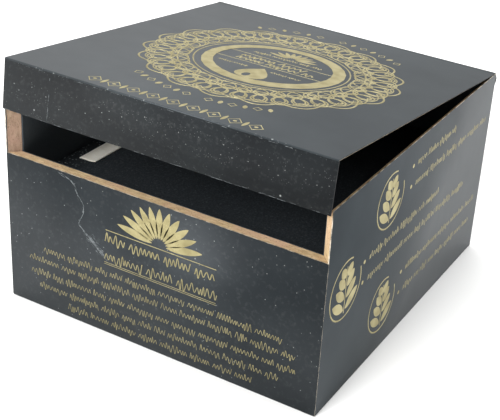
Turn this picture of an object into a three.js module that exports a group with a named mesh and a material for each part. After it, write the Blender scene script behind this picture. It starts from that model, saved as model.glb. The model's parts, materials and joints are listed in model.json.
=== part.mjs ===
// A small presentation box with a flip lid, made from V-grooved board wrapped in printed paper.
// Every wall is three layers, outer paper, board and lining, mitred at 45 degrees where panels meet.
// The lid and its front flap swing together on the paper along the top of the back wall.
// Millimetres, +X to the right, +Y to the back, +Z up; the origin is the centre of the underside.

import * as THREE from 'three';

// Driving dimensions

const BOX = { width: 76, depth: 81, height: 46.1 }; // outside, with the lid shut
const FRONT_WALL_HEIGHT = 35.1; // the front wall stops here and the flap fills the rest
const FLAP_HEIGHT = 10.8;
const LID_OPEN_ANGLE = THREE.MathUtils.degToRad( 7.1 ); // where the paper's spring holds the lid

const PAPER = 0.2;
const LINING = 0.2;
const GLUE_LINE = 0.02;
const WALL = 2.5; // outer paper, glue, board, glue and lining together
const MITRE_JOINT = 0.02; // glued seam between two fixed panels
const LID_CLEARANCE = 0.2; // between the shut lid and the walls' bevels

const INSERT = {
	top: 28.8, // height of its upper face
	baseLayer: 6, // solid foam under the recess
	sideGap: 0.3,
	backGap: 0.9, // room for the ribbon's tail
	recessRadius: 16,
	recessCentreY: 4, // set back a little
};

const RIBBON = {
	width: 4,
	thickness: 0.4,
	centreX: - 30,
	frontY: - 24.2,
	tail: 14, // length tucked down behind the foam
};

const COLOURS = {
	print: 0x2c3033, // matt-laminated black paper
	lining: 0x17191c, // plain black paper
	board: 0xc7a67c, // raw grey-brown core
	foam: 0x1b1d20,
	ribbon: 0xd6d3c0,
};

const BOARD_START = PAPER + GLUE_LINE;
const BOARD_END = WALL - LINING - GLUE_LINE;
const LINING_START = WALL - LINING;

// Materials

function matt( color, roughness ) {

	return new THREE.MeshStandardMaterial( { color, roughness, metalness: 0 } );

}

const printedPaper = matt( COLOURS.print, 0.55 );
const liningPaper = matt( COLOURS.lining, 0.8 );
const rawBoard = matt( COLOURS.board, 0.95 );
const blackFoam = matt( COLOURS.foam, 0.95 );
const creamRibbon = matt( COLOURS.ribbon, 0.7 );

function piece( name, geometry, material ) {

	const mesh = new THREE.Mesh( geometry, material.clone() );
	mesh.name = name;
	return mesh;

}

// Edges of a panel: how far the edge is set in at a given depth below the outer face

const mitre = ( gap = MITRE_JOINT ) => ( depth ) => depth + gap;
const square = () => () => 0;

// One layer of a panel, from depth `from` to depth `to` below the outer face.
// The outer face lies in the XY plane and looks along +Z, and the edges are cut as `edges` says.

function layer( size, edges, from, to ) {

	const geometry = new THREE.BoxGeometry( size.width, size.height, to - from );
	geometry.translate( 0, 0, - ( from + to ) / 2 );
	const position = geometry.attributes.position;
	const middle = - ( from + to ) / 2;

	for ( let i = 0; i < position.count; i ++ ) {

		const depth = position.getZ( i ) > middle ? from : to;
		const x = position.getX( i );
		const y = position.getY( i );
		position.setX( i, x < 0 ? x + edges.left( depth ) : x - edges.right( depth ) );
		position.setY( i, y < 0 ? y + edges.bottom( depth ) : y - edges.top( depth ) );
		position.setZ( i, - depth );

	}

	geometry.computeVertexNormals();
	return geometry;

}

// A panel: printed paper outside, board in the middle, lining inside

function panel( name, size, edges ) {

	const group = new THREE.Group();
	group.add( piece( `${ name }_paper`, layer( size, edges, 0, PAPER ), printedPaper ) );
	group.add( piece( `${ name }_board`, layer( size, edges, BOARD_START, BOARD_END ), rawBoard ) );
	group.add( piece( `${ name }_lining`, layer( size, edges, LINING_START, WALL ), liningPaper ) );
	return group;

}

// Stands a panel up as a wall that looks along -Y, then turns it about the box's middle

function wall( wallPanel, heightOfCentre, distance, turn ) {

	wallPanel.rotation.x = Math.PI / 2;
	wallPanel.position.set( 0, - distance, heightOfCentre );
	const turned = new THREE.Group();
	turned.rotation.z = turn;
	turned.add( wallPanel );
	return turned;

}

// The tray: floor and four walls

function tray() {

	const group = new THREE.Group();
	const allMitred = { left: mitre(), right: mitre(), bottom: mitre(), top: mitre() };
	const openTop = { left: mitre(), right: mitre(), bottom: mitre(), top: square() };

	const front = panel( 'front', { width: BOX.width, height: FRONT_WALL_HEIGHT }, openTop );
	const back = panel( 'back', { width: BOX.width, height: BOX.height }, allMitred );
	const left = panel( 'left', { width: BOX.depth, height: BOX.height }, allMitred );
	const right = panel( 'right', { width: BOX.depth, height: BOX.height }, allMitred );
	group.add( wall( front, FRONT_WALL_HEIGHT / 2, BOX.depth / 2, 0 ) );
	group.add( wall( back, BOX.height / 2, BOX.depth / 2, Math.PI ) );
	group.add( wall( left, BOX.height / 2, BOX.width / 2, - Math.PI / 2 ) );
	group.add( wall( right, BOX.height / 2, BOX.width / 2, Math.PI / 2 ) );

	const floor = panel( 'bottom', { width: BOX.width, height: BOX.depth }, allMitred );
	floor.rotation.x = Math.PI;
	group.add( floor );
	return group;

}

// The lid and its flap, in a group whose origin is the hinge line.
// They are drawn shut, and the group is turned by the opening angle.

function lid() {

	const group = new THREE.Group();
	const running = mitre( LID_CLEARANCE );

	const top = panel( 'lid', { width: BOX.width, height: BOX.depth }, {
		left: running, right: running, bottom: mitre(), top: running,
	} );
	top.position.set( 0, - BOX.depth / 2, 0 );
	group.add( top );

	const flap = panel( 'flap', { width: BOX.width, height: FLAP_HEIGHT }, {
		left: running, right: running, bottom: square(), top: mitre(),
	} );
	flap.rotation.x = Math.PI / 2;
	flap.position.set( 0, - BOX.depth, - FLAP_HEIGHT / 2 );
	group.add( flap );

	group.position.set( 0, BOX.depth / 2, BOX.height );
	group.rotation.x = - LID_OPEN_ANGLE;
	return group;

}

// The insert: a solid foam layer and a die-cut layer with the round recess, glued together

const insertWidth = BOX.width - 2 * ( WALL + INSERT.sideGap );
const insertFront = - BOX.depth / 2 + WALL + INSERT.sideGap;
const insertBack = BOX.depth / 2 - WALL - INSERT.backGap;

function foamLayer( name, zFrom, zTo, recessRadius = 0 ) {

	const outline = new THREE.Shape();
	outline.moveTo( - insertWidth / 2, insertFront );
	outline.lineTo( insertWidth / 2, insertFront );
	outline.lineTo( insertWidth / 2, insertBack );
	outline.lineTo( - insertWidth / 2, insertBack );
	outline.closePath();

	if ( recessRadius > 0 ) {

		const hole = new THREE.Path();
		hole.absarc( 0, INSERT.recessCentreY, recessRadius, 0, 2 * Math.PI, true );
		outline.holes.push( hole );

	}

	const geometry = new THREE.ExtrudeGeometry( outline, {
		depth: zTo - zFrom, bevelEnabled: false, curveSegments: 24,
	} );
	geometry.translate( 0, 0, zFrom );
	return piece( name, geometry, blackFoam );

}

function insert() {

	const group = new THREE.Group();
	const floor = WALL + GLUE_LINE;
	const split = floor + INSERT.baseLayer;
	group.add( foamLayer( 'foam_base_layer', floor, split ) );
	group.add( foamLayer( 'foam_top_layer', split + GLUE_LINE, INSERT.top, INSERT.recessRadius ) );
	return group;

}

// The lift ribbon: lies on the foam, folds over its back edge and is glued down behind it.
// Its side view is drawn with x along the box's depth and y up, then swept across its width.

function ribbon() {

	const under = INSERT.top + GLUE_LINE;
	const inside = insertBack + GLUE_LINE;
	const tailZ = under - RIBBON.tail;

	const side = new THREE.Shape();
	side.moveTo( RIBBON.frontY, under );
	side.lineTo( inside, under );
	side.lineTo( inside, tailZ );
	side.lineTo( inside + RIBBON.thickness, tailZ );
	side.absarc( inside, under, RIBBON.thickness, 0, Math.PI / 2, false );
	side.lineTo( RIBBON.frontY, under + RIBBON.thickness );
	side.closePath();

	const geometry = new THREE.ExtrudeGeometry( side, {
		depth: RIBBON.width, bevelEnabled: false, curveSegments: 6,
	} );
	geometry.translate( 0, 0, - RIBBON.width / 2 );
	const mesh = piece( 'lift_ribbon', geometry, creamRibbon );
	const diagonal = new THREE.Vector3( 1, 1, 1 ).normalize();
	mesh.quaternion.setFromAxisAngle( diagonal, 2 * Math.PI / 3 ); // x to Y, y to Z, sweep to X
	mesh.position.x = RIBBON.centreX;
	return mesh;

}

const box = new THREE.Group();
box.add( tray(), lid(), insert(), ribbon() );

export default box;
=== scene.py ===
"""A small presentation box with a flip lid: V-grooved greyboard in matt black paper with gold foil.

The pieces are made in the order of the work: board, lining, cover, foil, wear, insert, ribbon, studio.
"""

import json
import math
import random

import bmesh
import bpy
from mathutils import Matrix, Vector, noise


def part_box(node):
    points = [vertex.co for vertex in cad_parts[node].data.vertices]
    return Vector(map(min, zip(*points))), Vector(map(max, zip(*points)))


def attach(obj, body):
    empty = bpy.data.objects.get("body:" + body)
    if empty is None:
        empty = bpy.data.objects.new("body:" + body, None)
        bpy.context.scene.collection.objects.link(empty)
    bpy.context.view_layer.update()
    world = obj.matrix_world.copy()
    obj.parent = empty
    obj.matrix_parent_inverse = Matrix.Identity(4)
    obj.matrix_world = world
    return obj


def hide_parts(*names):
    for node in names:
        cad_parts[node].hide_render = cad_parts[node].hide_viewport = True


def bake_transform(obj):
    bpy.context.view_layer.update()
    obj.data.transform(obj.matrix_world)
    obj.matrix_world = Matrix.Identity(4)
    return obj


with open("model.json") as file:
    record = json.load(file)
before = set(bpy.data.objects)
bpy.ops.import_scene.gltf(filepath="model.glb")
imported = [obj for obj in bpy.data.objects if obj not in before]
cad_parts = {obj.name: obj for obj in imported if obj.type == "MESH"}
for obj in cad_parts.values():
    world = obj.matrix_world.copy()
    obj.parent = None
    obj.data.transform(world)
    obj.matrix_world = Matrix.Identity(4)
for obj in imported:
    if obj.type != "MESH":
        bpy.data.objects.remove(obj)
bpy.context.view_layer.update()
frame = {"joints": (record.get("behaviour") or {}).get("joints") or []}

# ---------------------------------------------------------------------------------------------
# Greyboard: seven stiff panels of about 2 mm recycled board. V-grooves cut at 45 degrees let
# them fold up into walls. Only the front wall's top and the flap's foot are cut square, and the
# raw core shows there and on the bevels: tan, dull and fibrous, with its plies running along it.

MM = 0.001
UP = Vector((0, 0, 1))

WIDTH = 2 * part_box("right_paper")[1].x
DEPTH = 2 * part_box("back_paper")[1].y
FLAP_HEIGHT = 10.8 * MM
WALL = 2.5 * MM
PAPER = 0.2 * MM
GLUE_LINE = 0.02 * MM
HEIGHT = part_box("left_paper")[1].z + GLUE_LINE
FRONT_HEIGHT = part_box("front_paper")[1].z
LID_CLEARANCE = 0.2 * MM

lid_hinge = frame["joints"][0]
HINGE = Vector(lid_hinge["pos_m"])
LID_ANGLE = math.radians(-lid_hinge["range_deg"][0])
OPENED = Matrix.Translation(HINGE) @ Matrix.Rotation(-LID_ANGLE, 4, "X")


def stood_up(turn, half_span, height):
    """Where a wall that lies flat, its outer face up, goes when it is folded up and turned."""
    centre = Matrix.Translation((0, -half_span, height / 2))
    return Matrix.Rotation(math.radians(turn), 4, "Z") @ centre @ Matrix.Rotation(math.pi / 2, 4, "X")


SIDES = {
    "left": Vector((-1, 0, 0)),
    "right": Vector((1, 0, 0)),
    "bottom": Vector((0, -1, 0)),
    "top": Vector((0, 1, 0)),
}
PANELS = {  # name: body, flat size, place, sides that are cut square
    "bottom": ("tray", (WIDTH, DEPTH), Matrix.Rotation(math.pi, 4, "X"), ()),
    "front": ("tray", (WIDTH, FRONT_HEIGHT), stood_up(0, DEPTH / 2, FRONT_HEIGHT), ("top",)),
    "back": ("tray", (WIDTH, HEIGHT), stood_up(180, DEPTH / 2, HEIGHT), ()),
    "left": ("tray", (DEPTH, HEIGHT), stood_up(-90, WIDTH / 2, HEIGHT), ()),
    "right": ("tray", (DEPTH, HEIGHT), stood_up(90, WIDTH / 2, HEIGHT), ()),
    "lid": ("lid", (WIDTH, DEPTH), OPENED @ Matrix.Translation((0, -DEPTH / 2, 0)), ()),
    "flap": (
        "lid",
        (WIDTH, FLAP_HEIGHT),
        OPENED @ Matrix.Translation((0, -DEPTH, -FLAP_HEIGHT / 2)) @ Matrix.Rotation(math.pi / 2, 4, "X"),
        ("bottom",),
    ),
}


def edge_gap(panel, side):
    """The gap at a mitre: the lid and flap keep clear of the walls, and the rest is glued."""
    fixed = {"lid": "bottom", "flap": "top"}
    return LID_CLEARANCE if fixed.get(panel, side) != side else GLUE_LINE


def mitred_slab(panel, outer, inner):
    """One layer of a panel, flat, between two depths under the outer face, its edges cut at 45 degrees."""
    _, (across, along), _, square_sides = PANELS[panel]
    bm = bmesh.new()
    size = Matrix.Diagonal((across, along, inner - outer, 1))
    bmesh.ops.create_cube(bm, size=1, matrix=Matrix.Translation(UP * -(outer + inner) / 2) @ size)
    for side, out in SIDES.items():
        if side not in square_sides:
            edge = Vector((out.x * across, out.y * along, 0)) / 2 - out * edge_gap(panel, side)
            everything = bm.verts[:] + bm.edges[:] + bm.faces[:]
            bmesh.ops.bisect_plane(bm, geom=everything, plane_co=edge, plane_no=out - UP, clear_outer=True)
            bmesh.ops.holes_fill(bm, edges=[e for e in bm.edges if e.is_boundary])
    return bm


def make_piece(name, bm, place, *materials):
    """Turns a bmesh into an object at the origin, with its flat coordinates kept for its pattern."""
    if all(edge.is_manifold for edge in bm.edges):  # an open sheet keeps the side it was made with
        bmesh.ops.recalc_face_normals(bm, faces=bm.faces[:])
    flat = bm.verts.layers.float_vector.new("flat")
    for vert in bm.verts:
        vert[flat] = vert.co
    bmesh.ops.transform(bm, matrix=place, verts=bm.verts[:])
    mesh = bpy.data.meshes.new(name)
    bm.to_mesh(mesh)
    bm.free()
    for material in materials:
        mesh.materials.append(material)
    piece = bpy.data.objects.new(name, mesh)
    bpy.context.scene.collection.objects.link(piece)
    return piece


def linear(colour):
    """An sRGB hex colour as linear RGBA."""
    parts = [int(colour[i : i + 2], 16) / 255 for i in (1, 3, 5)]
    return [p / 12.92 if p <= 0.04045 else ((p + 0.055) / 1.055) ** 2.4 for p in parts] + [1]


def add(tree, kind, settings=None, **inputs):
    """Adds a shader node: settings are its properties, inputs its sockets' values or links."""
    new = tree.nodes.new(kind)
    for key, value in (settings or {}).items():
        setattr(new, key, value)
    for key, value in inputs.items():
        socket = new.inputs[int(key[1:])] if key[0] == "_" else new.inputs[key.replace("_", " ")]
        if isinstance(value, bpy.types.NodeSocket):
            tree.links.new(value, socket)
        else:
            socket.default_value = value
    return new


def new_material(name, **shader_values):
    """A material, its node tree and its shader, with the shader's steady values set."""
    material = bpy.data.materials.new(name)
    material.use_nodes = True
    shader = material.node_tree.nodes["Principled BSDF"]
    for key, value in shader_values.items():
        shader.inputs[key.replace("_", " ")].default_value = value
    return material, material.node_tree, shader


def make_raw_greyboard(name, dark, pale, blush_colour):
    """Raw recycled board, cut with a V-blade: dull tan plies with pinkish patches and brown flecks."""
    material, tree, shader = new_material(name, IOR=1.45, Roughness=0.95)
    shader.inputs["Specular IOR Level"].default_value = 0.2
    flat = add(tree, "ShaderNodeAttribute", {"attribute_name": "flat"}).outputs["Vector"]
    ply_spacing, fibre_length = 0.4 * MM, 1.8 * MM
    stretch = (1 / fibre_length, 1 / fibre_length, 1 / ply_spacing)
    along_plies = add(tree, "ShaderNodeMapping", Vector=flat, Scale=stretch).outputs[0]
    plies = add(tree, "ShaderNodeTexNoise", Vector=along_plies, Scale=1, Detail=3)
    patches = add(tree, "ShaderNodeTexNoise", Vector=flat, Scale=1 / (6 * MM), Detail=4)
    grit = add(tree, "ShaderNodeTexNoise", Vector=flat, Scale=1 / (0.35 * MM), Detail=2)
    tan = add(tree, "ShaderNodeValToRGB", Fac=plies.outputs["Fac"])
    tan.color_ramp.elements[0].position, tan.color_ramp.elements[1].position = 0.3, 0.7
    tan.color_ramp.elements[0].color = linear(dark)
    tan.color_ramp.elements[1].color = linear(pale)
    pink = add(tree, "ShaderNodeValToRGB", Fac=patches.outputs["Fac"])
    pink.color_ramp.elements[0].position, pink.color_ramp.elements[1].position = 0.42, 0.66
    pink.color_ramp.elements[0].color = (0, 0, 0, 1)
    pink.color_ramp.elements[1].color = (0.75, 0.75, 0.75, 1)
    blush = add(tree, "ShaderNodeMix", {"data_type": "RGBA"}, _0=pink.outputs["Color"])
    tree.links.new(tan.outputs["Color"], blush.inputs[6])
    blush.inputs[7].default_value = linear(blush_colour)
    fleck = add(tree, "ShaderNodeMapRange", Value=grit.outputs["Fac"])
    fleck.inputs["From Min"].default_value, fleck.inputs["From Max"].default_value = 0.4, 0.3
    fleck.inputs["To Max"].default_value = 0.7
    flecked = add(tree, "ShaderNodeMix", {"data_type": "RGBA"}, _0=fleck.outputs[0], _6=blush.outputs[2])
    flecked.inputs[7].default_value = linear("#6E5A45")
    tree.links.new(flecked.outputs[2], shader.inputs["Base Color"])
    rough = add(tree, "ShaderNodeMath", {"operation": "ADD"}, _0=plies.outputs["Fac"], _1=grit.outputs["Fac"])
    bump = add(tree, "ShaderNodeBump", Strength=0.6, Distance=0.12 * MM, Height=rough.outputs[0])
    tree.links.new(bump.outputs[0], shader.inputs["Normal"])
    return material


raw_greyboard = make_raw_greyboard("raw_greyboard", "#A48B66", "#CBB48F", "#BE9C82")
# The left wall's board is a darker, greyer copy of the same board: painted shade on its bevel.
shaded_greyboard = make_raw_greyboard("shaded_greyboard", "#7E6A58", "#A08B76", "#96796A")


FRAY_LENGTH = 0.9 * MM
FRAY_REACH = {"tray": 0.04 * MM, "lid": 0.015 * MM}
EDGE_ROUNDING = 0.04 * MM
noise.seed_set(12)  # without a seed, vector noise starts from the clock


def fray(bm, reach):
    """Roughens a slab's cut edges, as a blade leaves them."""
    bmesh.ops.subdivide_edges(bm, edges=bm.edges[:], cuts=40, use_grid_fill=True)
    cut = {v for f in bm.faces if abs(f.normal.z) < 0.9 for v in f.verts}
    for vert in cut:
        vert.co += noise.noise_vector(vert.co / FRAY_LENGTH) * reach


def soften_edges(bm, rounding, segments):
    """Rounds every edge of a closed slab by a little."""
    bmesh.ops.recalc_face_normals(bm, faces=bm.faces[:])
    shape = {"affect": "EDGES", "segments": segments, "profile": 0.5, "material": -1}
    bmesh.ops.bevel(bm, geom=bm.edges[:], offset=rounding, **shape)


for panel, (body, _, place, _) in PANELS.items():
    core = mitred_slab(panel, PAPER + GLUE_LINE, WALL - PAPER - GLUE_LINE)
    soften_edges(core, EDGE_ROUNDING, segments=1)
    fray(core, FRAY_REACH[body])
    # The left wall gets the darker copy of the board, as painted shade.
    board = shaded_greyboard if panel == "left" else raw_greyboard
    greyboard = make_piece(f"{panel}_greyboard", core, place, board)
    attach(greyboard, body)
    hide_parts(f"{panel}_board")

# ---------------------------------------------------------------------------------------------
# Lining: plain black dyed paper, glued to the inside of each board before the grooves are cut,
# so it stops at every bevel. Uncoated, with a soft paper tooth. Its charcoal is painted lighter
# than the black paper is: painted light, for the light that fills the inside of the box.


def make_black_lining():
    material, tree, shader = new_material("black_lining", IOR=1.45, Roughness=0.8)
    shader.inputs["Specular IOR Level"].default_value = 0.25
    flat = add(tree, "ShaderNodeAttribute", {"attribute_name": "flat"}).outputs["Vector"]
    tooth = add(tree, "ShaderNodeTexNoise", Vector=flat, Scale=1 / (0.3 * MM), Detail=4)
    shade = add(tree, "ShaderNodeValToRGB", Fac=tooth.outputs["Fac"])
    # A lifted charcoal: painted light, for the light inside the box.
    shade.color_ramp.elements[0].color = linear("#383E42")
    shade.color_ramp.elements[1].color = linear("#474D51")
    tree.links.new(shade.outputs["Color"], shader.inputs["Base Color"])
    bump = add(tree, "ShaderNodeBump", Strength=0.4, Distance=0.05 * MM, Height=tooth.outputs["Fac"])
    tree.links.new(bump.outputs[0], shader.inputs["Normal"])
    return material


black_lining = make_black_lining()

LINING_ROUNDING = 0.03 * MM

for panel, (body, _, place, _) in PANELS.items():
    sheet = mitred_slab(panel, WALL - PAPER, WALL)
    soften_edges(sheet, LINING_ROUNDING, segments=2)
    lining = make_piece(f"{panel}_inner_paper", sheet, place, black_lining)
    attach(lining, body)
    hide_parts(f"{panel}_lining")

# ---------------------------------------------------------------------------------------------
# Cover: art paper printed solid black and laminated with matt film. One cut sheet folds round
# the boards; the fold over the back wall is the hinge. Film over paper gives a soft grey sheen
# at low angles, bare white fibres at cut edges and rubbed folds, and it shows every speck.

FOLD_RADIUS = 0.3 * MM
SEAM = 0.03 * MM


SPECKS = (  # spacing, radius and strength of each size of speck
    (0.42 * MM, 0.08 * MM, 0.4),
    (1.1 * MM, 0.13 * MM, 0.65),
    (4.2 * MM, 0.26 * MM, 0.8),
)


def make_laminated_paper(name, dust, wear=0.0, dark="#22282B", pale="#2A3033", ior=1.5):
    """Black paper under matt film. dust is the share of specks that are kept, wear how rubbed it is."""
    material, tree, shader = new_material(name, IOR=ior)
    shader.inputs["Specular Tint"].default_value = linear("#F3F9FF")
    place = add(tree, "ShaderNodeTexCoord").outputs["Object"]
    clouds = add(tree, "ShaderNodeTexNoise", Vector=place, Scale=1 / (14 * MM), Detail=3)
    black = add(tree, "ShaderNodeValToRGB", Fac=clouds.outputs["Fac"])
    black.color_ramp.elements[0].position, black.color_ramp.elements[1].position = 0.35, 0.65
    black.color_ramp.elements[0].color = linear(dark)
    black.color_ramp.elements[1].color = linear(pale)
    wobble = add(tree, "ShaderNodeTexNoise", Vector=place, Scale=1 / (0.2 * MM), Detail=1)
    shaken = add(tree, "ShaderNodeVectorMath", {"operation": "MULTIPLY_ADD"}, _0=wobble.outputs["Color"])
    shaken.inputs[1].default_value = [0.12 * MM] * 3
    tree.links.new(place, shaken.inputs[2])
    smears = add(tree, "ShaderNodeTexNoise", Vector=place, Scale=1 / (0.8 * MM), Detail=4)
    smear = add(tree, "ShaderNodeMapRange", Value=smears.outputs["Fac"])
    smear.inputs["From Min"].default_value, smear.inputs["From Max"].default_value = 0.54, 0.74
    smear.inputs["To Max"].default_value = 0.12 * dust
    factor = smear.outputs[0]
    dustier = add(tree, "ShaderNodeMath", {"operation": "MULTIPLY"}, _0=clouds.outputs["Fac"], _1=2 * dust)
    for spacing, radius, strength in SPECKS:
        cells = add(tree, "ShaderNodeTexVoronoi", Vector=shaken.outputs[0], Scale=1 / spacing)
        dot = add(tree, "ShaderNodeMapRange", Value=cells.outputs["Distance"])
        dot.inputs["From Min"].default_value = radius / spacing
        dot.inputs["From Max"].default_value = 0.45 * radius / spacing
        dot.inputs["To Max"].default_value = strength
        kept = add(tree, "ShaderNodeMath", {"operation": "LESS_THAN"}, _0=cells.outputs["Color"])
        tree.links.new(dustier.outputs[0], kept.inputs[1])
        both = add(tree, "ShaderNodeMath", {"operation": "MULTIPLY"}, _0=dot.outputs[0], _1=kept.outputs[0])
        joined = add(tree, "ShaderNodeMath", {"operation": "MAXIMUM"}, _0=both.outputs[0], _1=factor)
        factor = joined.outputs[0]
    if wear:
        rubs = add(tree, "ShaderNodeTexNoise", Vector=place, Scale=1 / (0.7 * MM), Detail=3)
        bare = add(tree, "ShaderNodeMapRange", Value=rubs.outputs["Fac"])
        bare.inputs["From Min"].default_value = 0.78 - 0.3 * wear
        bare.inputs["From Max"].default_value = 0.88 - 0.3 * wear
        bare.inputs["To Max"].default_value = 0.7
        joined = add(tree, "ShaderNodeMath", {"operation": "MAXIMUM"}, _0=bare.outputs[0], _1=factor)
        factor = joined.outputs[0]
    colour = add(tree, "ShaderNodeMix", {"data_type": "RGBA"}, _0=factor, _6=black.outputs["Color"])
    colour.inputs[7].default_value = linear("#A9ADAB")
    tree.links.new(colour.outputs[2], shader.inputs["Base Color"])
    film = add(tree, "ShaderNodeTexNoise", Vector=place, Scale=1 / (5 * MM), Detail=5)
    matt = add(tree, "ShaderNodeMapRange", Value=film.outputs["Fac"])
    matt.inputs["To Min"].default_value, matt.inputs["To Max"].default_value = 0.47, 0.52
    tree.links.new(matt.outputs[0], shader.inputs["Roughness"])
    grain = add(tree, "ShaderNodeTexNoise", Vector=place, Scale=1 / (0.45 * MM), Detail=3)
    height = add(tree, "ShaderNodeMath", {"operation": "MULTIPLY_ADD"}, _0=factor, _1=2.0)
    tree.links.new(grain.outputs["Fac"], height.inputs[2])
    bump = add(tree, "ShaderNodeBump", Strength=0.3, Distance=0.02 * MM, Height=height.outputs[0])
    tree.links.new(bump.outputs[0], shader.inputs["Normal"])
    return material


def make_cut_paper(name, dark, pale):
    """The core of the paper where it is cut, greyed in patches by the blade and by handling."""
    material, tree, shader = new_material(name, IOR=1.45, Roughness=0.85)
    place = add(tree, "ShaderNodeTexCoord").outputs["Object"]
    smudge = add(tree, "ShaderNodeTexNoise", Vector=place, Scale=1 / (1.5 * MM), Detail=4)
    tone = add(tree, "ShaderNodeValToRGB", Fac=smudge.outputs["Fac"])
    tone.color_ramp.elements[0].position, tone.color_ramp.elements[1].position = 0.38, 0.62
    tone.color_ramp.elements[0].color = linear(dark)
    tone.color_ramp.elements[1].color = linear(pale)
    tree.links.new(tone.outputs["Color"], shader.inputs["Base Color"])
    return material


plain_cover = make_laminated_paper("laminated_black_paper", dust=0.03)
# The front wall's copy carries more dust, and its darker black and weaker sheen are painted shade.
dusty_shaded_cover = make_laminated_paper(
    "laminated_black_paper_dusty_shaded", dust=0.3, dark="#181D20", pale="#202528", ior=1.36
)
# The flap's copy carries the most dust, and its darkest black and weakest sheen are painted shade.
dustiest_shaded_cover = make_laminated_paper(
    "laminated_black_paper_flap_shaded", dust=0.36, dark="#0A0D0F", pale="#14181A", ior=1.32
)
rubbed_fold = make_laminated_paper("laminated_black_paper_rubbed", dust=0.1, wear=0.5)
cut_paper = make_cut_paper("cut_paper_edge", "#57564F", "#CFC4B2")
inked_edge = make_cut_paper("inked_paper_edge", "#1E2123", "#4A4C4B")
CUT_EDGE_SLOT = 2


def arc(centre, radius, start, end, steps=6):
    """Points round a fold, in the side view, from one angle in degrees to another."""
    angles = [math.radians(start + (end - start) * i / steps) for i in range(steps + 1)]
    return [Vector((centre[0] + radius * math.cos(a), centre[1] + radius * math.sin(a))) for a in angles]


def folded_sheet(name, path, place, half_widths, is_fold, *materials):
    """A sheet round the box that follows a side view. half_widths has a value for each of its points."""
    bm = bmesh.new()
    verts = [bm.verts.new((-half, p.x, p.y)) for p, half in zip(path, half_widths)]
    edges = [bm.edges.new(pair) for pair in zip(verts, verts[1:])]
    swept = bmesh.ops.extrude_edge_only(bm, edges=edges)["geom"]
    for vert in [g for g in swept if isinstance(g, bmesh.types.BMVert)]:
        vert.co.x = -vert.co.x
    bmesh.ops.recalc_face_normals(bm, faces=bm.faces[:])
    inside = UP * HEIGHT / 2
    outward = sum(f.calc_area() * f.normal.dot(f.calc_center_median() - inside) for f in bm.faces)
    if outward < 0:
        bmesh.ops.reverse_faces(bm, faces=bm.faces[:])
    for face in bm.faces:
        face.material_index = 1 if is_fold(face.calc_center_median()) else 0
        face.smooth = True
    sheet = make_piece(name, bm, place, *materials)
    solid = sheet.modifiers.new("paper thickness", "SOLIDIFY")
    solid.thickness, solid.offset, solid.use_even_offset = PAPER, -1, True
    solid.material_offset_rim = CUT_EDGE_SLOT
    return sheet


def apply_modifiers(piece):
    """Makes a piece's modifiers part of its mesh."""
    evaluated = piece.evaluated_get(bpy.context.evaluated_depsgraph_get())
    mesh = bpy.data.meshes.new_from_object(evaluated)
    piece.modifiers.clear()
    piece.data = mesh


def wall_cover(name, turn, half_span, half_width, top, floor_reach, material):
    """A wall's cover: down the wall, round the bottom fold and then along the floor."""
    corner = (-half_span + FOLD_RADIUS, FOLD_RADIUS)
    path = [Vector((-half_span, top))] + arc(corner, FOLD_RADIUS, 180, 270)
    halves = [half_width - SEAM] * 2 + [half_width - SEAM - FOLD_RADIUS * i / 6 for i in range(1, 7)]
    if floor_reach:
        path.append(path[-1] + Vector((floor_reach, 0)))
        halves.append(halves[-1])
    turned = Matrix.Rotation(math.radians(turn), 4, "Z")
    in_fold = lambda c: c.z < FOLD_RADIUS and c.y < -half_span + FOLD_RADIUS
    cover = folded_sheet(name, path, turned, halves, in_fold, material, rubbed_fold, cut_paper, cut_paper)
    apply_modifiers(cover)
    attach(cover, "tray")
    return cover


floor_length = DEPTH - 2 * FOLD_RADIUS - PAPER
# The front wall and floor take the darker, dustier copy: real dust with painted shade.
front_cover = wall_cover(
    "front_and_floor_cover", 0, DEPTH / 2, WIDTH / 2, FRONT_HEIGHT, floor_length, dusty_shaded_cover
)
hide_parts("front_paper", "bottom_paper")
for side, turn in (("left", -90), ("right", 90)):
    cover = wall_cover(f"{side}_cover", turn, WIDTH / 2, DEPTH / 2, HEIGHT, 0, plain_cover)
    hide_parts(f"{side}_paper")


def hinge_path():
    """The side view of the sheet that covers back wall, lid and flap, with the fold's slack at the hinge."""
    back = DEPTH / 2
    path = arc((back - FOLD_RADIUS, FOLD_RADIUS), FOLD_RADIUS, -90, 0)
    slack_foot, slack_top, slack = HEIGHT - 3.2 * MM, HEIGHT - 0.1 * MM, 0.8 * MM
    steps = 12
    for i in range(steps):
        share = i / steps
        z = slack_foot + (slack_top - slack_foot) * share
        path.append(Vector((back + slack * math.sin(math.pi * share) ** 2, z)))
    tray_points = len(path)
    hinge = Vector((HINGE.y, HINGE.z))
    crown = 0.12 * MM
    path += [hinge + p for p in arc((0, 0), crown, 60, 100, steps=4)]
    shut = [Vector((-0.5 * MM, 0.02 * MM))] + [Vector((-1 * MM * i, 0)) for i in range(1, 4)]
    shut += arc((-DEPTH + FOLD_RADIUS, -FOLD_RADIUS), FOLD_RADIUS, 90, 180)
    shut.append(Vector((-DEPTH, -FLAP_HEIGHT)))
    turn = Matrix.Rotation(-LID_ANGLE, 2)
    path += [hinge + turn @ p for p in shut]
    return path, tray_points


path, tray_points = hinge_path()
lid_half = WIDTH / 2 - LID_CLEARANCE
half_widths = [WIDTH / 2 - SEAM if i < tray_points else lid_half for i in range(len(path))]
front_fold_at = OPENED @ Vector((0, -DEPTH, 0))
is_front_fold = lambda c: (c - Vector((0, front_fold_at.y, front_fold_at.z))).length < 1.6 * FOLD_RADIUS
lid_cover = folded_sheet(
    "lid_and_back_cover",
    path,
    Matrix.Identity(4),
    half_widths,
    is_front_fold,
    plain_cover,
    rubbed_fold,
    inked_edge,
    inked_edge,
)
flap_faces = [f for f in lid_cover.data.polygons if f.center.y < -DEPTH / 2 and f.normal.y ** 2 > 0.7]
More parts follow.
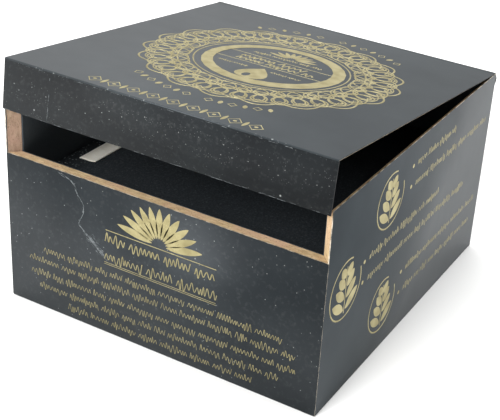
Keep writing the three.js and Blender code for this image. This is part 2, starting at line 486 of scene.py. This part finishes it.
# The flap's faces take the darkest copy: real dust with painted shade.
lid_cover.data.materials.append(dustiest_shaded_cover)
for face in flap_faces:
    if face.material_index == 0:
        face.material_index = 4
apply_modifiers(lid_cover)
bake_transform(lid_cover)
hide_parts("back_paper", "lid_paper", "flap_paper")

# ---------------------------------------------------------------------------------------------
# Gold foil: a pale gold film, hot-stamped onto the laminated paper by an engraved die. It is a
# metal far thinner than the paper, slightly dulled and rubbed. The die carries a rosette, sprigs,
# drops and wavy rows that stand for small print and spell nothing. Its sizes are in millimetres.

FOIL_HEIGHT = 0.02  # a little thicker than real foil, so that it casts an edge


def make_gold_foil():
    material, tree, shader = new_material("hot_stamped_gold_foil", Metallic=1.0)
    flat = add(tree, "ShaderNodeAttribute", {"attribute_name": "flat"}).outputs["Vector"]
    rubbing = add(tree, "ShaderNodeTexNoise", Vector=flat, Scale=1 / (3 * MM), Detail=3)
    gold = add(tree, "ShaderNodeValToRGB", Fac=rubbing.outputs["Fac"])
    gold.color_ramp.elements[0].position, gold.color_ramp.elements[1].position = 0.3, 0.62
    gold.color_ramp.elements[0].color = linear("#958C66")
    gold.color_ramp.elements[1].color = linear("#ADA47C")
    tree.links.new(gold.outputs["Color"], shader.inputs["Base Color"])
    dulled = add(tree, "ShaderNodeMapRange", Value=rubbing.outputs["Fac"])
    dulled.inputs["To Min"].default_value, dulled.inputs["To Max"].default_value = 0.62, 0.42
    tree.links.new(dulled.outputs[0], shader.inputs["Roughness"])
    crinkle = add(tree, "ShaderNodeTexNoise", Vector=flat, Scale=1 / (0.4 * MM), Detail=2)
    bump = add(tree, "ShaderNodeBump", Strength=0.12, Distance=0.01 * MM, Height=crinkle.outputs["Fac"])
    tree.links.new(bump.outputs[0], shader.inputs["Normal"])
    return material


def drawn(strokes):
    """A bmesh of flat pen strokes. Each is its width, whether it closes, and its points."""
    pen = bpy.data.curves.new("pen", "CURVE")
    pen.dimensions, pen.twist_mode = "3D", "Z_UP"
    pen.bevel_depth, pen.bevel_resolution = 1, 0
    for width, closes, points in strokes:
        line = pen.splines.new("POLY")
        line.points.add(len(points) - 1)
        line.use_cyclic_u = closes
        for dot, (x, y) in zip(line.points, points):
            dot.co, dot.radius = (x, y, 0, 1), width / 2
    holder = bpy.data.objects.new("pen", pen)
    mesh = bpy.data.meshes.new_from_object(holder)
    bpy.data.objects.remove(holder)
    bm = bmesh.new()
    bm.from_mesh(mesh)
    flatness = FOIL_HEIGHT / max(width for width, _, _ in strokes)
    bmesh.ops.scale(bm, vec=(1, 1, flatness), verts=bm.verts[:])
    return bm


def leaf_outline(vert):
    vert.co.x *= (1.0001 - vert.co.y**2) ** 0.3


def drop_outline(vert):
    vert.co.x *= 1.3 * ((1.0001 - vert.co.y) / 2) ** 0.6


def disc_outline(vert):
    pass


def filled(bm, outline, foot, length, width, lean=0.0, hole=None):
    """Adds a filled shape that grows from its foot. hole is an oval's centre and half sizes."""
    loops = [bmesh.ops.create_circle(bm, segments=28, radius=1, cap_ends=hole is None)["verts"]]
    for vert in loops[0]:
        outline(vert)
    if hole:
        hole_place = Matrix.Translation((hole[0], hole[1], 0)) @ Matrix.Diagonal((hole[2], hole[3], 1, 1))
        loops.append(bmesh.ops.create_circle(bm, segments=28, radius=1, matrix=hole_place)["verts"])
        rims = dict.fromkeys(e for v in loops[0] + loops[1] for e in v.link_edges)
        bmesh.ops.bridge_loops(bm, edges=list(rims))
    spread = Matrix.Diagonal((width / 2, length / 2, 1, 1)) @ Matrix.Translation((0, 1, 0))
    place = Matrix.Translation((foot[0], foot[1], 0)) @ Matrix.Rotation(math.radians(-lean), 4, "Z")
    bmesh.ops.transform(bm, matrix=place @ spread, verts=[v for loop in loops for v in loop])


def sprig(bm, foot, length, spread=78, leaves=9, width=0.2):
    """A fan of leaves round one foot, with room between them, the outer ones longer."""
    for i in range(leaves):
        share = 2 * i / (leaves - 1) - 1
        lean = math.radians(share * spread)
        start = Vector(foot) + 0.2 * length * Vector((math.sin(lean), math.cos(lean)))
        reach = length * (0.8 + 0.2 * share**2)
        filled(bm, leaf_outline, start, reach, length * width, lean=share * spread)


def print_row(left, right, y, tall, pen, dice):
    """Scribbled words that fill a row: low waves with a tall or a deep one here and there."""
    words, x = [], left
    while x < right - tall:
        end = min(right, x + tall * dice.uniform(1.4, 5))
        points, up, level = [], 1, -0.3
        while x < end:
            goal = up * (0.3 if dice.random() < 0.75 else 0.6)
            stride = max(0.23 * tall, 1.5 * pen) * dice.uniform(0.55, 1.5)
            for i in range(6):
                ease = (1 - math.cos(math.pi * i / 6)) / 2
                points.append((x + stride * i / 6, y + tall * (level + (goal - level) * ease)))
            x, level, up = x + stride, goal, -up
        words.append((pen, False, points))
        x += 0.4 * tall
    return words


def round_curve(lobes, place, width):
    """A closed curve: place gives a point for each angle, with enough of them for its lobes."""
    steps = lobes * 20
    return (width, True, [place(2 * math.pi * i / steps) for i in range(steps)])


def stamp(name, panel, strokes, fills):
    """Puts strokes and filled shapes of foil on a panel's outer face."""
    bmesh.ops.recalc_face_normals(fills, faces=fills.faces[:])
    bmesh.ops.solidify(fills, geom=fills.faces[:], thickness=FOIL_HEIGHT / 2)
    bmesh.ops.translate(fills, vec=UP * FOIL_HEIGHT * 0.75, verts=fills.verts[:])
    bmesh.ops.recalc_face_normals(fills, faces=fills.faces[:])
    loose = bpy.data.meshes.new("fills")
    fills.to_mesh(loose)
    fills.free()
    foil = drawn(strokes)
    foil.from_mesh(loose)
    bmesh.ops.scale(foil, vec=(MM, MM, MM), verts=foil.verts[:])
    body, _, place, _ = PANELS[panel]
    piece = make_piece(name, foil, place, gold_foil)
    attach(piece, body)


gold_foil = make_gold_foil()
dice = random.Random(12)

# On the lid: a rosette of interlaced loops round a heavy ring, with a sprig, rows and a drop in it.
ROSETTE = Vector((0.4, 1.1))
LOBES = 19


def looped(radius, reach, lobes, turn=0.0):
    """A point on a ring that carries loops, for each angle."""
    return lambda a: (
        ROSETTE.x + radius * math.cos(a) + reach * math.cos((1 - lobes) * a + turn),
        ROSETTE.y + radius * math.sin(a) + reach * math.sin((1 - lobes) * a + turn),
    )


def scalloped(radius, reach, turn=0.0):
    """A point on a ring of outward scallops, for each angle."""
    out = lambda a: radius + reach * abs(math.sin(LOBES * a / 2 + turn))
    return lambda a: (ROSETTE.x + out(a) * math.cos(a), ROSETTE.y + out(a) * math.sin(a))


lid_strokes = [
    round_curve(LOBES, scalloped(26.4, 2.3), 0.46),
    round_curve(LOBES, scalloped(25.2, 2.1), 0.3),
    round_curve(LOBES, scalloped(25.4, 1.9, math.pi / 2), 0.34),
    round_curve(LOBES * 2, looped(24.3, 2.6, LOBES * 2), 0.4),
    round_curve(LOBES, looped(23.3, 2.9, LOBES), 0.42),
    round_curve(LOBES, looped(23.3, 2.9, LOBES, math.pi), 0.42),
    round_curve(LOBES * 2, looped(20.4, 2.3, LOBES * 2), 0.36),
    round_curve(LOBES, looped(20.2, 2.2, LOBES), 0.36),
    round_curve(9, looped(17.1, 0.0, 1), 0.34),
    (0.26, False, [(-12.3, 5.0), (13.5, 5.0)]),
    (0.26, False, [(-12.3, -0.9), (13.5, -0.9)]),
]
lid_strokes += print_row(-7.8, 9.3, 7.5, 1.3, 0.22, dice)
lid_strokes += print_row(-8.3, 10.3, 3.1, 1.8, 0.42, dice)
lid_strokes += print_row(-8.3, 10.3, 0.7, 2.0, 0.42, dice)
lid_strokes += print_row(-10.1, -2.4, -3.9, 0.95, 0.18, dice)
lid_strokes += print_row(2.9, 11.0, -3.9, 0.95, 0.18, dice)

lid_fills = bmesh.new()
filled(lid_fills, disc_outline, (0.8, -14.7), 31.6, 31.6, hole=(-0.02, 0.02, 0.83, 0.83))
sprig(lid_fills, (0.9, 8.6), 5.2)
filled(lid_fills, drop_outline, (0.75, -11.6), 8.9, 7.4, hole=(-0.2, -0.5, 0.22, 0.3))

# Two arcs of leaves and lozenges in turn stand behind and before it, each with one leaf left out.
# A straight row of larger ones runs along the lid's front.
ARC_RADIUS, ARC_MARKS, LEFT_OUT = 31.6, 14, 6
for side, step in ((1, 5.4), (-1, 4.5)):
    for i in range(ARC_MARKS):
        lean = ((ARC_MARKS - 1) / 2 - i) * step
        turn = Matrix.Rotation(math.radians(lean), 2)
        outward = Vector((0, side))
        corners = [Vector(p) + ARC_RADIUS * outward for p in ((0, -1), (0.9, 0), (0, 1), (-0.9, 0))]
        if i % 2:
            lid_strokes.append((0.3, True, [tuple(ROSETTE + turn @ p) for p in corners]))
        elif i != LEFT_OUT:
            filled(lid_fills, leaf_outline, ROSETTE + turn @ corners[0], 2, 1, lean=-lean)
LOZENGES, LOZENGE_STEP, LOZENGE_ROW = 9, 4.6, -37.1
for i in range(LOZENGES):
    x = (i - (LOZENGES - 1) / 2) * LOZENGE_STEP + 0.5
    corners = [(x - 1.5, LOZENGE_ROW), (x, LOZENGE_ROW + 1.7), (x + 1.5, LOZENGE_ROW), (x, LOZENGE_ROW - 1.7)]
    lid_strokes.append((0.3, True, corners))
    filled(lid_fills, disc_outline, (x, LOZENGE_ROW - 0.4), 0.8, 0.8)
    if i:
        filled(lid_fills, leaf_outline, (x - LOZENGE_STEP / 2, LOZENGE_ROW - 1.5), 3, 0.8)
stamp("lid_foil", "lid", lid_strokes, lid_fills)

# On the front: a wide sprig over a rule, two headings and five rows of small print.
FRONT_TOP = FRONT_HEIGHT / MM / 2
SMALL_PRINT = (  # depth below the wall's top, left end and right end
    (20.3, -28.9, 29.4),
    (23.2, -32.8, 33.3),
    (26.4, -32.4, 32.9),
    (29.5, -30.2, 30.8),
    (32.5, -22.6, 23.2),
)
front_strokes = [
    (0.2, False, [(-12.5, FRONT_TOP - 9.9), (14.1, FRONT_TOP - 9.9)]),
    (0.13, False, [(-12.9, FRONT_TOP - 17.6), (14.3, FRONT_TOP - 17.6)]),
    (0.13, False, [(-12.9, FRONT_TOP - 18.0), (14.3, FRONT_TOP - 18.0)]),
]
front_strokes += print_row(-12.7, 14.1, FRONT_TOP - 11.9, 2.3, 0.26, dice)
front_strokes += print_row(-12.9, 14.3, FRONT_TOP - 16.2, 2.2, 0.2, dice)
for depth, left, right in SMALL_PRINT:
    front_strokes += print_row(left, right, FRONT_TOP - depth, 1.6, 0.13, dice)
front_fills = bmesh.new()
sprig(front_fills, (0.6, FRONT_TOP - 9.4), 8.6, spread=80, leaves=11, width=0.19)
stamp("front_foil", "front", front_strokes, front_fills)

# On the right: three sprigs in open rings, each with two rows that open with a dot. All are
# placed from the wall's top front corner.
RIGHT_CORNER = Vector((-DEPTH, HEIGHT)) / MM / 2
RINGED_SPRIGS = ((26.1, 9.2, 12.2), (8.6, 20.9, 13.0), (27.7, 34.8, 12.4))  # back, down, ring's width
DOTTED_ROWS = (  # back, down, and how far back the row ends
    (36.1, 5.6, 58.5),
    (36.1, 10.4, 79.6),
    (16.3, 18.6, 52.7),
    (16.3, 23.4, 68.4),
    (36.4, 31.1, 77.4),
    (36.4, 36.3, 76.5),
)
right_strokes, right_fills = [], bmesh.new()


def ringed_sprig(centre, size):
    """An open ring round a stem that carries four pairs of leaves."""
    angles = [math.radians(70 + 10 * i) for i in range(32)]
    ring = [centre + Vector((math.cos(a), math.sin(a))) * size / 2 for a in angles]
    right_strokes.append((0.36, False, [tuple(p) for p in ring]))
    stem = [centre - Vector((0, 0.42 * size)), centre + Vector((0, 0.4 * size))]
    right_strokes.append((0.3, False, [tuple(p) for p in stem]))
    for pair, height in enumerate((-0.36, -0.16, 0.04, 0.22)):
        for side in (-1, 1):
            joint = centre + Vector((0.03 * side, height)) * size
            length = (0.44 - 0.07 * pair) * size
            filled(right_fills, leaf_outline, joint, length, 0.17 * size, lean=side * (58 - 7 * pair))


for back, down, size in RINGED_SPRIGS:
    ringed_sprig(RIGHT_CORNER + Vector((back, -down)), size)
for back, down, end in DOTTED_ROWS:
    row_x, row_y = RIGHT_CORNER + Vector((back, -down))
    filled(right_fills, disc_outline, (row_x, row_y - 0.45), 0.9, 0.9)
    right_strokes += print_row(row_x + 2.2, RIGHT_CORNER.x + end, row_y, 1.7, 0.18, dice)
stamp("right_foil", "right", right_strokes, right_fills)

# ---------------------------------------------------------------------------------------------
# Wear: light scuffs in the film, where something was dragged over the front wall, and a crease
# down the flap with a rubbed line along its fold. Each is a thin grey mark, broken into flecks.


def make_scuffed_film():
    """Film that is scratched to a dull pale grey."""
    material, tree, shader = new_material("scuffed_film", Roughness=0.7)
    flat = add(tree, "ShaderNodeAttribute", {"attribute_name": "flat"}).outputs["Vector"]
    patches = add(tree, "ShaderNodeTexNoise", Vector=flat, Scale=1 / (0.8 * MM), Detail=3)
    grey = add(tree, "ShaderNodeValToRGB", Fac=patches.outputs["Fac"])
    grey.color_ramp.elements[0].position, grey.color_ramp.elements[1].position = 0.35, 0.65
    grey.color_ramp.elements[0].color = linear("#33383B")
    grey.color_ramp.elements[1].color = linear("#7E8486")
    tree.links.new(grey.outputs["Color"], shader.inputs["Base Color"])
    return material


scuffed_film = make_scuffed_film()


def scuff(name, panel, points, width, share, dice, scatter=0.05, passes=1):
    """Flecks along a line through the points, in mm. Each pass covers a share of the line."""
    line = walked(points)
    strokes = []
    for _ in range(passes):
        i = 0
        while i < len(line) - 3:
            length = dice.randint(2, 7)
            if dice.random() < share:
                shift = Vector((dice.gauss(0, scatter), dice.gauss(0, scatter)))
                marks = [tuple(p + shift) for p in line[i : i + length + 1]]
                strokes.append((width * dice.uniform(0.3, 1), False, marks))
            i += length
    body, _, place, _ = PANELS[panel]
    flecks = drawn(strokes)
    bmesh.ops.scale(flecks, vec=(MM, MM, MM), verts=flecks.verts[:])
    piece = make_piece(name, flecks, place, scuffed_film)
    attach(piece, body)


def walked(points, step=0.25):
    """Points every quarter of a millimetre along straight runs, softened at the bends."""
    ends = [Vector(p) for p in points]
    line = []
    for a, b in zip(ends, ends[1:]):
        count = max(1, round((b - a).length / step))
        line += [a.lerp(b, i / count) for i in range(count)]
    for _ in range(12):
        line = [line[0]] + [(a + 2 * b + c) / 4 for a, b, c in zip(line, line[1:], line[2:])] + [line[-1]]
    return line


FLAP_TOP = FLAP_HEIGHT / MM / 2
drag = [
    (-24.5, FRONT_TOP - 0.4),
    (-20.7, FRONT_TOP - 1.7),
    (-17.7, FRONT_TOP - 7.2),
    (-19.6, FRONT_TOP - 11),
    (-15.9, FRONT_TOP - 13.9),
    (-12.7, FRONT_TOP - 16.5),
]
drag_end = [(-17.4, FRONT_TOP - 12.6), (-14.5, FRONT_TOP - 14.8), (-12.2, FRONT_TOP - 16.4)]
scuff("front_scuff", "front", drag, 0.16, 0.7, dice, scatter=0.16, passes=3)
scuff("front_scuff_lower", "front", drag_end, 0.13, 0.7, dice, scatter=0.55, passes=12)
scuff("flap_crease", "flap", [(-26.2, FLAP_TOP), (-26.4, -FLAP_TOP)], 0.1, 0.6, dice)
scuff("flap_edge_rub", "flap", [(-37.6, 0.08 - FLAP_TOP), (37.6, 0.08 - FLAP_TOP)], 0.09, 0.4, dice)
scuff("flap_fold_rub", "flap", [(-37.5, FLAP_TOP - 0.5), (37.5, FLAP_TOP - 0.5)], 0.1, 0.3, dice)

# ---------------------------------------------------------------------------------------------
# Insert: two layers of black sponge, glued together. The upper one has a round recess, die-cut
# through it, and the lower one is its floor. Open cells give a dull, slightly pitted face, and
# lint has settled on the strip by the left wall.

RECESS_RADIUS = 16 * MM
RECESS_CENTRE_Y = 4 * MM


def make_black_sponge():
    material, tree, shader = new_material("black_sponge", IOR=1.45, Roughness=0.95)
    shader.inputs["Specular IOR Level"].default_value = 0.2
    flat = add(tree, "ShaderNodeAttribute", {"attribute_name": "flat"}).outputs["Vector"]
    cells = add(tree, "ShaderNodeTexVoronoi", Vector=flat, Scale=1 / (0.4 * MM))
    shade = add(tree, "ShaderNodeValToRGB", Fac=cells.outputs["Distance"])
    shade.color_ramp.elements[0].color = linear("#191D20")
    shade.color_ramp.elements[1].color = linear("#2A2F33")
    lint = add(tree, "ShaderNodeTexVoronoi", Vector=flat, Scale=1 / (0.8 * MM))
    fleck = add(tree, "ShaderNodeMapRange", Value=lint.outputs["Distance"])
    fleck.inputs["From Min"].default_value, fleck.inputs["From Max"].default_value = 0.32, 0.12
    across = add(tree, "ShaderNodeSeparateXYZ", Vector=flat)
    strip = add(tree, "ShaderNodeMapRange", Value=across.outputs["X"])
    strip.inputs["From Min"].default_value, strip.inputs["From Max"].default_value = -29 * MM, -33 * MM
    strip.inputs["To Min"].default_value, strip.inputs["To Max"].default_value = 0.06, 0.55
    dusting = add(tree, "ShaderNodeMath", {"operation": "MULTIPLY"}, _0=fleck.outputs[0], _1=strip.outputs[0])
    colour = add(tree, "ShaderNodeMix", {"data_type": "RGBA"}, _0=dusting.outputs[0])
    tree.links.new(shade.outputs["Color"], colour.inputs[6])
    colour.inputs[7].default_value = linear("#8D9496")
    tree.links.new(colour.outputs[2], shader.inputs["Base Color"])
    bump = add(tree, "ShaderNodeBump", Strength=0.7, Distance=0.1 * MM, Height=cells.outputs["Distance"])
    tree.links.new(bump.outputs[0], shader.inputs["Normal"])
    return material


black_sponge = make_black_sponge()


def foam_layer(name, node, hole):
    """A sponge layer in the place of its CAD node, with soft rims, and a round hole if asked."""
    low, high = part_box(node)
    centre, size = (low + high) / 2, high - low
    bm = bmesh.new()
    corners = Matrix.Translation(centre) @ Matrix.Diagonal((size.x, size.y, size.z, 1))
    turn = Matrix.Rotation(math.pi / 4, 4, "Z")
    bmesh.ops.create_circle(bm, segments=4, radius=math.sqrt(0.5), cap_ends=not hole, matrix=turn)
    bmesh.ops.transform(bm, matrix=corners, verts=bm.verts[:])
    if hole:
        bmesh.ops.subdivide_edges(bm, edges=bm.edges[:], cuts=15)
        rim_place = Matrix.Translation((0, RECESS_CENTRE_Y, centre.z)) @ turn
        bmesh.ops.create_circle(bm, segments=64, radius=RECESS_RADIUS, matrix=rim_place)
        bmesh.ops.bridge_loops(bm, edges=bm.edges[:])
    raised = bmesh.ops.extrude_face_region(bm, geom=bm.faces[:])["geom"]
    bmesh.ops.translate(bm, vec=UP * size.z, verts=[g for g in raised if isinstance(g, bmesh.types.BMVert)])
    bmesh.ops.translate(bm, vec=-UP * size.z / 2, verts=bm.verts[:])
    bmesh.ops.recalc_face_normals(bm, faces=bm.faces[:])
    rims = [e for e in bm.edges if e.is_manifold and e.calc_face_angle() > 1]
    bmesh.ops.bevel(bm, geom=rims, offset=0.35 * MM, affect="EDGES", segments=3, profile=0.5, material=-1)
    layer = make_piece(name, bm, Matrix.Identity(4), black_sponge)
    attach(layer, "tray")
    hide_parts(node)


foam_layer("sponge_base", "foam_base_layer", hole=False)
foam_layer("sponge_top", "foam_top_layer", hole=True)

# ---------------------------------------------------------------------------------------------
# Lift ribbon: woven cream tape, 4 mm wide, that lies on the insert and is tucked and glued down
# behind it. Fine weft ribs run across it, it is crowned a little along its middle, and its cut
# front end curls up with one corner pulled back.

RIBBON_THICKNESS = 0.2 * MM


def make_woven_tape():
    material, tree, shader = new_material("woven_cream_tape", Roughness=0.75)
    shader.inputs["Sheen Weight"].default_value = 0.3
    flat = add(tree, "ShaderNodeAttribute", {"attribute_name": "flat"}).outputs["Vector"]
    rib_spacing, thread_spacing = 0.3 * MM, 0.18 * MM
    weft = add(tree, "ShaderNodeTexWave", {"bands_direction": "Y"}, Vector=flat, Scale=0.314 / rib_spacing)
    warp = add(tree, "ShaderNodeTexWave", {"bands_direction": "X"}, Vector=flat, Scale=0.314 / thread_spacing)
    weave = add(tree, "ShaderNodeMath", {"operation": "MULTIPLY"}, _0=weft.outputs["Fac"])
    tree.links.new(warp.outputs["Fac"], weave.inputs[1])
    soil = add(tree, "ShaderNodeTexNoise", Vector=flat, Scale=1 / (3 * MM), Detail=4)
    both = add(tree, "ShaderNodeMath", {"operation": "MULTIPLY_ADD"}, _0=weave.outputs[0], _1=0.35)
    tree.links.new(soil.outputs["Fac"], both.inputs[2])
    cream = add(tree, "ShaderNodeValToRGB", Fac=both.outputs[0])
    cream.color_ramp.elements[0].position, cream.color_ramp.elements[1].position = 0.25, 0.65
    cream.color_ramp.elements[0].color = linear("#E2DDC9")
    cream.color_ramp.elements[1].color = linear("#FDFBF0")
    tree.links.new(cream.outputs["Color"], shader.inputs["Base Color"])
    bump = add(tree, "ShaderNodeBump", Strength=0.5, Distance=0.06 * MM, Height=weave.outputs[0])
    tree.links.new(bump.outputs[0], shader.inputs["Normal"])
    return material


tape_low, tape_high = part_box("lift_ribbon")
tape_middle, tape_half = (tape_low.x + tape_high.x) / 2, (tape_high.x - tape_low.x) / 2
TAPE_LENGTH = tape_high.y - tape_low.y + tape_high.z - tape_low.z - 0.8 * MM
FOLD_BACK = tape_high.y - tape_low.y - RIBBON_THICKNESS


def lay_tape(point):
    """Where a point of the flat tape lies: along the sponge, then down behind it."""
    along, across = point.y, point.x / tape_half
    curl = 0.12 * MM * max(0, 1 - along / (4 * MM)) ** 2
    crown = 0.08 * MM * (1 - across**2) + 0.05 * MM * noise.noise(Vector((along / (8 * MM), 0, 0)))
    pulled_corner = 0.8 * MM * max(0, across - 0.3) ** 1.5 * max(0, 1 - along / (4 * MM))
    if along < FOLD_BACK:
        height = tape_high.z - 0.18 * MM + curl + crown
        return Vector((tape_middle + point.x, tape_low.y + along + pulled_corner, height))
    down = along - FOLD_BACK
    return Vector((tape_middle + point.x, tape_high.y - 0.02 * MM, tape_high.z - 0.3 * MM - down))


tape = bmesh.new()
bmesh.ops.create_grid(tape, x_segments=10, y_segments=160, size=0.5)
spread = Matrix.Diagonal((2 * tape_half, TAPE_LENGTH, 1, 1)) @ Matrix.Translation((0, 0.5, 0))
bmesh.ops.transform(tape, matrix=spread, verts=tape.verts[:])
ribbon = make_piece("cream_lift_ribbon", tape, Matrix.Identity(4), make_woven_tape())
for vert in ribbon.data.vertices:
    vert.co = lay_tape(vert.co)
ribbon.data.polygons.foreach_set("use_smooth", [True] * len(ribbon.data.polygons))
woven = ribbon.modifiers.new("tape thickness", "SOLIDIFY")
woven.thickness, woven.offset = RIBBON_THICKNESS, -1
apply_modifiers(ribbon)
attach(ribbon, "tray")
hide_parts("lift_ribbon")

# ---------------------------------------------------------------------------------------------
# Studio: a white table under a soft sky that is brightest behind the box. One large lamp hangs
# overhead, one stands at the front left and looks in under the lid, and one at the back right.

floor_mesh = bmesh.new()
bmesh.ops.create_grid(floor_mesh, x_segments=1, y_segments=1, size=3)
table, _, table_shader = new_material("white_table", Roughness=0.7)
table_shader.inputs["Base Color"].default_value = linear("#FBFBFA")
table_shader.inputs["Specular IOR Level"].default_value = 0
floor = make_piece("table", floor_mesh, Matrix.Translation((0, 0, -0.02 * MM)), table)

world = bpy.data.worlds.new("studio")
bpy.context.scene.world = world
world.use_nodes = True
sky = world.node_tree
direction = add(sky, "ShaderNodeSeparateXYZ", Vector=add(sky, "ShaderNodeTexCoord").outputs["Generated"])
glow = add(sky, "ShaderNodeMapRange", Value=direction.outputs["Y"])
glow.inputs["From Min"].default_value, glow.inputs["From Max"].default_value = -0.85, 0.2
glow.inputs["To Min"].default_value, glow.inputs["To Max"].default_value = 0.12, 1.12
sky.links.new(glow.outputs[0], sky.nodes["Background"].inputs["Strength"])
sky.nodes["Background"].inputs["Color"].default_value = linear("#FFFFFF")


def soft_light(name, at, size, power, spread=180):
    lamp = bpy.data.lights.new(name, "AREA")
    lamp.shape, lamp.size, lamp.energy, lamp.spread = "SQUARE", size, power, math.radians(spread)
    holder = bpy.data.objects.new(name, lamp)
    holder.location = at
    holder.rotation_euler = (-Vector(at)).to_track_quat("-Z", "Y").to_euler()
    bpy.context.scene.collection.objects.link(holder)


soft_light("overhead", (-0.15, 0.25, 0.8), 0.7, 3)
soft_light("front", (-0.2, -0.75, 0.5), 0.5, 4.2, spread=110)
soft_light("back_right", (0.5, 0.35, 0.45), 0.9, 2.2)

AZIMUTH, ELEVATION, ROLL = (math.radians(a) for a in (27.13, 27.53, 4.48))
right = Vector((math.cos(AZIMUTH), math.sin(AZIMUTH), 0))
level = Vector((math.sin(AZIMUTH), -math.cos(AZIMUTH), 0))
back = level * math.cos(ELEVATION) + UP * math.sin(ELEVATION)
basis = Matrix((right, back.cross(right), back)).transposed() @ Matrix.Rotation(ROLL, 3, "Z")
lens = bpy.data.cameras.new("camera")
lens.sensor_width, lens.lens = 36, 86.4
lens.shift_x, lens.shift_y = -0.0976, -0.056
camera = bpy.data.objects.new("camera", lens)
camera.matrix_world = Matrix.Translation((0.11734, -0.2099, 0.14895)) @ basis.to_4x4()
bpy.context.scene.collection.objects.link(camera)
bpy.context.scene.camera = camera
bpy.context.scene.view_settings.view_transform = "Standard"
